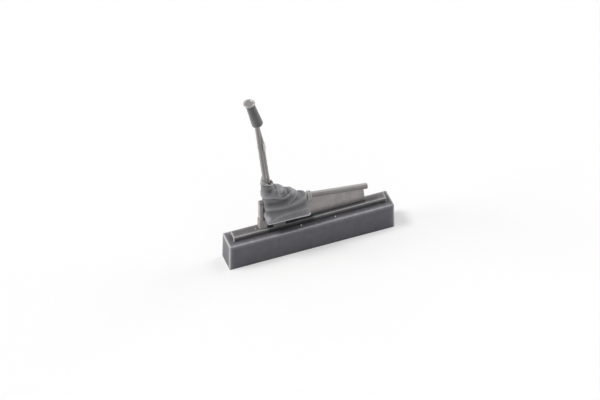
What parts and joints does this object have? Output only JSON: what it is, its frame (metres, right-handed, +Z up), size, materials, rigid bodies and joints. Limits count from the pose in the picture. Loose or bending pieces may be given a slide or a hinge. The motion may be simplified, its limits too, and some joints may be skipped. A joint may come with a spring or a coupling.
{
  "type": "model control stick",
  "caption": "Scale-model control stick: a leaning shaft with grip and lead rises from a gathered boot, on a sloping torque tube carried by a web on a casting block.",
  "frame": {"origin": "middle of the casting block's underside", "axes": "+X along the block towards the tube's free end, +Y across it, +Z up along the stick"},
  "size_m": [0.0222, 0.0034, 0.026],
  "materials": {
    "block_resin": "satin grey casting resin",
    "web_resin": "satin grey casting resin",
    "tube_resin": "satin grey casting resin",
    "boot_resin": "satin grey casting resin",
    "stick_resin": "satin grey casting resin",
    "grip_resin": "satin grey casting resin"
  },
  "bodies": {
    "base": {"casting_block": "block_resin", "pour_rail": "block_resin", "support_web": "web_resin", "bearing_post": "web_resin", "post_bush": "web_resin", "hem_gates": "block_resin"},
    "tube": {"torque_tube": "tube_resin", "tube_plug": "tube_resin", "boot_ring_front": "tube_resin", "boot_ring_rear": "tube_resin", "pivot_yoke": "tube_resin", "pivot_pin": "tube_resin", "boot": "boot_resin", "boot_hem": "boot_resin"},
    "stick": {"pivot_bush": "stick_resin", "stick_foot": "stick_resin", "stick_shaft": "stick_resin", "neck_cuff": "boot_resin", "cable_lower": "stick_resin", "connector_nut": "stick_resin", "cable_connector": "stick_resin", "connector_band": "stick_resin", "cable_upper": "stick_resin", "grip": "grip_resin", "grip_cap": "grip_resin", "cap_screws": "grip_resin"}
  },
  "joints": [
    {"name": "tube_roll", "type": "hinge", "parent": "base", "child": "tube", "pos_m": [-0.0054, 0, 0.00879], "axis": [0.9913, 0, -0.1314], "range_deg": [-12, 12]},
    {"name": "stick_pitch", "type": "hinge", "parent": "tube", "child": "stick", "pos_m": [-0.0054, 0, 0.00879], "axis": [0, 1, 0], "range_deg": [-10, 20], "deforming": ["boot"]}
  ]
}
